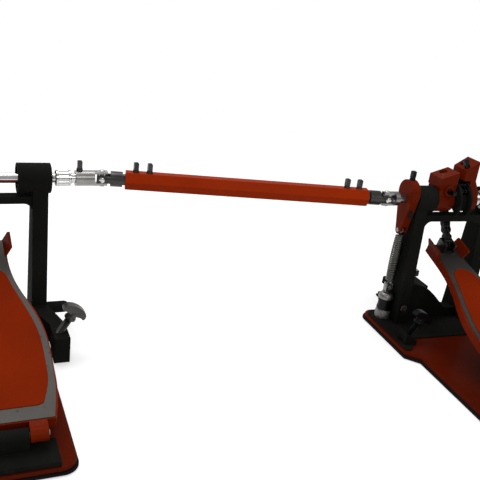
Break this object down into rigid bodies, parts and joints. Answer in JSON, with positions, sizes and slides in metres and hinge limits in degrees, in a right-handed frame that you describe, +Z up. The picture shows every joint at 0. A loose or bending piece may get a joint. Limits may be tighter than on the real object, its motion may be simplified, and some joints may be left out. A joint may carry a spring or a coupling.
{
  "type": "double bass drum pedal",
  "caption": "Two floor pedals on plates joined by a telescoping drive shaft with universal joints; cams and chains turn sprung axles with clamps for beater rods.",
  "frame": {"origin": "on the floor under the middle of the main pedal's axle", "axes": "+X along the main axle away from the slave pedal, +Y towards the drum, +Z up"},
  "size_m": [0.6937, 0.3437, 0.2215],
  "materials": {
    "orange_paint": "satin powder coat",
    "orange_panel": "satin",
    "black_casting": "satin black",
    "chrome": "polished",
    "nickel_steel": "satin",
    "rubber": "matt",
    "felt": "matt"
  },
  "bodies": {
    "main_base": {"main_base_plate": "orange_paint", "main_rubber_mat": "rubber", "main_left_post": "black_casting", "main_right_post": "black_casting", "main_bridge": "black_casting", "main_bearings": "nickel_steel", "main_heel_plate": "black_casting", "main_hinge_pin": "nickel_steel", "main_frame_screws": "nickel_steel", "main_crossmember": "black_casting", "main_tension_nuts": "chrome", "main_spur_block": "black_casting"},
    "main_drive": {"main_axle": "chrome", "main_cam": "black_casting", "main_beater_hub": "orange_paint", "main_axle_screws": "nickel_steel", "right_lever": "orange_paint"},
    "main_board": {"main_footboard": "orange_paint", "main_tread_panel": "orange_panel", "main_toe_clamp": "nickel_steel"},
    "main_chain": {"main_chain_run": "black_casting"},
    "right_spring": {"right_spring": "nickel_steel"},
    "right_felt": {"right_felt": "felt"},
    "left_drive": {"left_sleeve": "chrome", "left_beater_hub": "orange_paint", "left_drive_screws": "nickel_steel", "left_lever": "orange_paint"},
    "left_spring": {"left_spring": "nickel_steel"},
    "left_felt": {"left_felt": "felt"},
    "right_cross": {"right_cross": "chrome"},
    "drive_tube": {"drive_tube": "orange_paint", "tube_screws": "nickel_steel", "right_shaft_bar": "chrome"},
    "left_shaft_bar": {"left_shaft_bar": "chrome"},
    "left_cross": {"left_cross": "chrome"},
    "slave_base": {"slave_base_plate": "orange_paint", "slave_rubber_mat": "rubber", "slave_left_post": "black_casting", "slave_right_post": "black_casting", "slave_bridge": "black_casting", "slave_bearings": "nickel_steel", "slave_heel_plate": "black_casting", "slave_hinge_pin": "nickel_steel", "slave_tension_nuts": "chrome"},
    "slave_drive": {"slave_axle": "chrome", "slave_cam": "black_casting", "slave_yoke": "chrome", "slave_lever": "orange_paint", "slave_axle_screws": "nickel_steel"},
    "slave_board": {"slave_footboard": "orange_paint", "slave_tread_panel": "orange_panel", "slave_toe_clamp": "nickel_steel"},
    "slave_chain": {"slave_chain_run": "black_casting"},
    "slave_spring": {"slave_spring": "nickel_steel"},
    "slave_felt": {"slave_felt": "felt"},
    "main_t_bolt": {"main_t_bolt": "nickel_steel"},
    "slave_t_bolt": {"slave_t_bolt": "nickel_steel"},
    "hoop_screw": {"main_hoop_screw": "nickel_steel"},
    "hoop_jaw": {"main_hoop_jaw": "black_casting"}
  },
  "joints": [
    {"name": "main_axle_turn", "type": "hinge", "parent": "main_base", "child": "main_drive", "pos_m": [0, 0, 0.168], "axis": [-1, 0, 0], "range_deg": [0, 55], "stiffness_Nm_per_rad": 0.6, "springref_deg": -40.11},
    {"name": "main_board_hinge", "type": "hinge", "parent": "main_base", "child": "main_board", "pos_m": [0.001, -0.236, 0.024], "axis": [-1, 0, 0], "range_deg": [0, 6.11]},
    {"name": "main_chain_pivot", "type": "hinge", "parent": "main_board", "child": "main_chain", "pos_m": [0.001, -0.01, 0.112], "axis": [-1, 0, 0], "range_deg": [-24.78, 0]},
    {"name": "right_spring_swing", "type": "hinge", "parent": "main_base", "child": "right_spring", "pos_m": [0.0645, 0, 0.053], "axis": [1, 0, 0], "range_deg": [0, 19.61]},
    {"name": "right_felt_slide", "type": "slide", "parent": "right_spring", "child": "right_felt", "axis": [0, 0, 1], "range_m": [0, 0.02275], "deforming": ["right_spring"]},
    {"name": "shaft_extend", "type": "slide", "parent": "main_base", "child": "slave_base", "axis": [-0.9833, 0.1818, 0], "range_m": [-0.002, 0.06]},
    {"name": "slave_axle_turn", "type": "hinge", "parent": "slave_base", "child": "slave_drive", "pos_m": [-0.53035, 0.05419, 0.168], "axis": [-0.9986, -0.0523, 0], "range_deg": [0, 55], "stiffness_Nm_per_rad": 0.6, "springref_deg": -40.11},
    {"name": "slave_board_hinge", "type": "hinge", "parent": "slave_base", "child": "slave_board", "pos_m": [-0.52599, -0.18191, 0.024], "axis": [-0.9986, -0.0523, 0], "range_deg": [0, 5.8]},
    {"name": "slave_chain_pivot", "type": "hinge", "parent": "slave_board", "child": "slave_chain", "pos_m": [-0.53781, 0.04379, 0.1018], "axis": [-0.9986, -0.0523, 0], "range_deg": [-20.71, 0]},
    {"name": "slave_spring_swing", "type": "hinge", "parent": "slave_base", "child": "slave_spring", "pos_m": [-0.59276, 0.05092, 0.053], "axis": [0.9986, 0.0523, 0], "range_deg": [0, 19.61]},
    {"name": "slave_felt_slide", "type": "slide", "parent": "slave_spring", "child": "slave_felt", "axis": [0, 0, 1], "range_m": [0, 0.02275], "deforming": ["slave_spring"]},
    {"name": "left_cross_turn", "type": "hinge", "parent": "slave_drive", "child": "left_cross", "pos_m": [-0.4195, 0.06, 0.168], "axis": [0, 0, 1], "range_deg": [0, 5.7]},
    {"name": "left_bar_spin", "type": "hinge", "parent": "slave_base", "child": "left_shaft_bar", "pos_m": [-0.4195, 0.06, 0.168], "axis": [-0.9833, 0.1818, 0], "range_deg": [0, 55]},
    {"name": "drive_tube_spin", "type": "hinge", "parent": "main_base", "child": "drive_tube", "pos_m": [-0.095, 0, 0.168], "axis": [-0.9833, 0.1818, 0], "range_deg": [0, 55]},
    {"name": "left_drive_turn", "type": "hinge", "parent": "main_base", "child": "left_drive", "pos_m": [0, 0, 0.168], "axis": [-1, 0, 0], "range_deg": [0, 55]},
    {"name": "right_cross_turn", "type": "hinge", "parent": "left_drive", "child": "right_cross", "pos_m": [-0.095, 0, 0.168], "axis": [0, 0, 1], "range_deg": [0, 4.45]},
    {"name": "left_spring_swing", "type": "hinge", "parent": "main_base", "child": "left_spring", "pos_m": [-0.0645, 0, 0.053], "axis": [1, 0, 0], "range_deg": [0, 19.61]},
    {"name": "left_felt_slide", "type": "slide", "parent": "left_spring", "child": "left_felt", "axis": [0, 0, 1], "range_m": [0, 0.02275], "deforming": ["left_spring"]},
    {"name": "main_t_bolt_turn", "type": "hinge", "parent": "main_base", "child": "main_t_bolt", "pos_m": [-0.066, -0.062, 0.018], "axis": [0.5299, 0, 0.848], "range_deg": [-720, 720]},
    {"name": "slave_t_bolt_turn", "type": "hinge", "parent": "slave_base", "child": "slave_t_bolt", "pos_m": [-0.46874, -0.02269, 0.028], "axis": [0.5292, 0.0277, 0.848], "range_deg": [-720, 720]},
    {"name": "hoop_screw_turn", "type": "hinge", "parent": "main_base", "child": "hoop_screw", "pos_m": [0, 0.043, 0.03], "axis": [0, 0, 1], "range_deg": [-2220, 1500]},
    {"name": "hoop_jaw_slide", "type": "slide", "parent": "main_base", "child": "hoop_jaw", "axis": [0, 0, 1], "range_m": [-0.0075, 0.005]}
  ],
  "couplings": [
    {"joint": "main_board_hinge", "follows": "main_axle_turn", "ratio": 0.11087},
    {"joint": "main_chain_pivot", "follows": "main_axle_turn", "ratio": -0.45021},
    {"joint": "right_spring_swing", "follows": "main_axle_turn", "ratio": 0.35622},
    {"joint": "right_felt_slide", "follows": "main_axle_turn", "m_per_rad": 0.023662},
    {"joint": "slave_board_hinge", "follows": "slave_axle_turn", "ratio": 0.10521},
    {"joint": "slave_chain_pivot", "follows": "slave_axle_turn", "ratio": -0.37621},
    {"joint": "slave_spring_swing", "follows": "slave_axle_turn", "ratio": 0.35622},
    {"joint": "slave_felt_slide", "follows": "slave_axle_turn", "m_per_rad": 0.023662},
    {"joint": "left_cross_turn", "follows": "slave_axle_turn", "ratio": 0.10272},
    {"joint": "left_bar_spin", "follows": "slave_axle_turn", "ratio": 1},
    {"joint": "drive_tube_spin", "follows": "slave_axle_turn", "ratio": 1},
    {"joint": "left_drive_turn", "follows": "slave_axle_turn", "ratio": 1},
    {"joint": "right_cross_turn", "follows": "slave_axle_turn", "ratio": 0.080397},
    {"joint": "left_spring_swing", "follows": "slave_axle_turn", "ratio": 0.35622},
    {"joint": "left_felt_slide", "follows": "slave_axle_turn", "m_per_rad": 0.023662},
    {"joint": "hoop_screw_turn", "follows": "hoop_jaw_slide", "rad_per_m": 5026.5}
  ]
}
